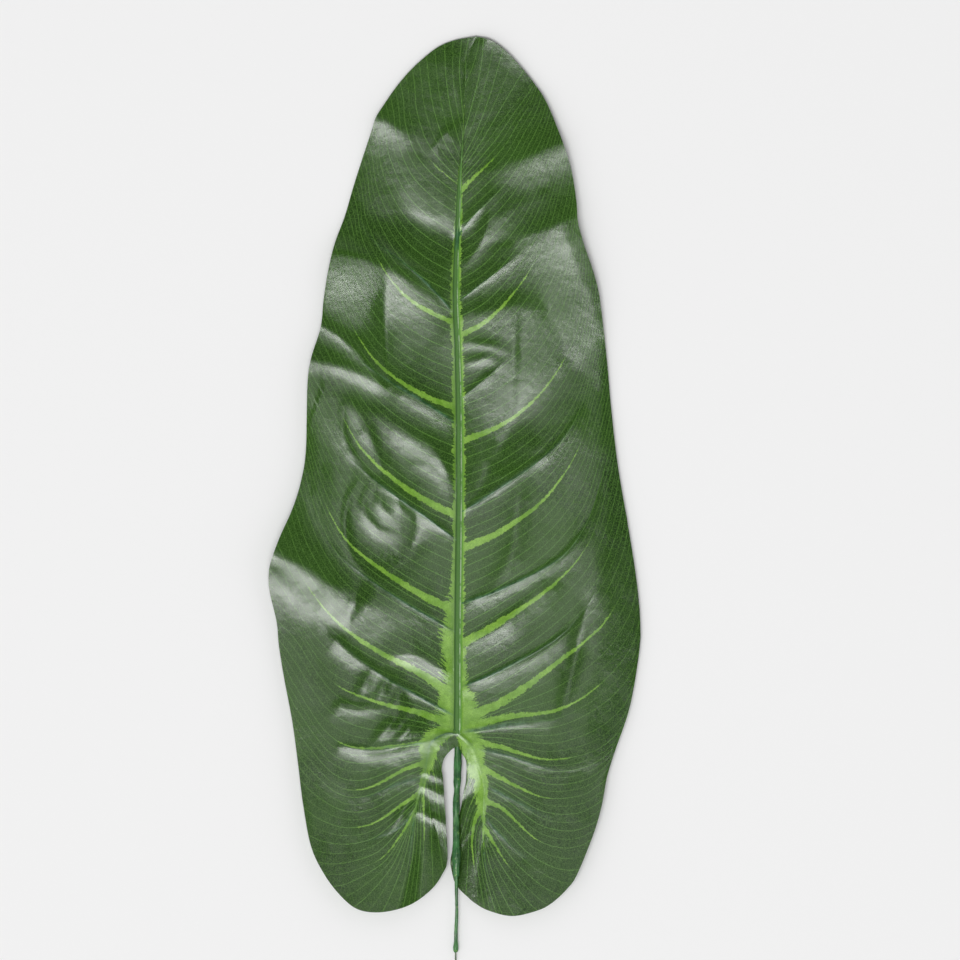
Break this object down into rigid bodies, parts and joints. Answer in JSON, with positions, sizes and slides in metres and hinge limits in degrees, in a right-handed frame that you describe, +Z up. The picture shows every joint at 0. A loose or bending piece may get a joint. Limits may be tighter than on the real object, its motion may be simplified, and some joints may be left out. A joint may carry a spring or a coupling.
{
  "type": "artificial anthurium leaf",
  "caption": "Long heart-based printed cloth leaf with pale veins, glued over a moulded rib frame, on a coated wire stem; lies face up.",
  "frame": {"origin": "centre of the whole leaf's box in plan, at the surface it lies on", "axes": "+Y from the stem to the leaf's tip, +Z up out of the printed face, +X across the leaf"},
  "size_m": [0.2516, 0.67, 0.0139],
  "materials": {
    "blade": "printed and heat-embossed, soft sheen",
    "rib_frame": "satin moulded",
    "stem_sleeve": "satin, with a glue collar",
    "stem_coat": "satin",
    "core_wire": "dull drawn wire with traces of coating"
  },
  "bodies": {
    "root": {"blade": "blade", "rib_frame": "rib_frame", "stem_sleeve": "stem_sleeve", "stem_coat": "stem_coat", "core_wire": "core_wire"}
  },
  "joints": []
}
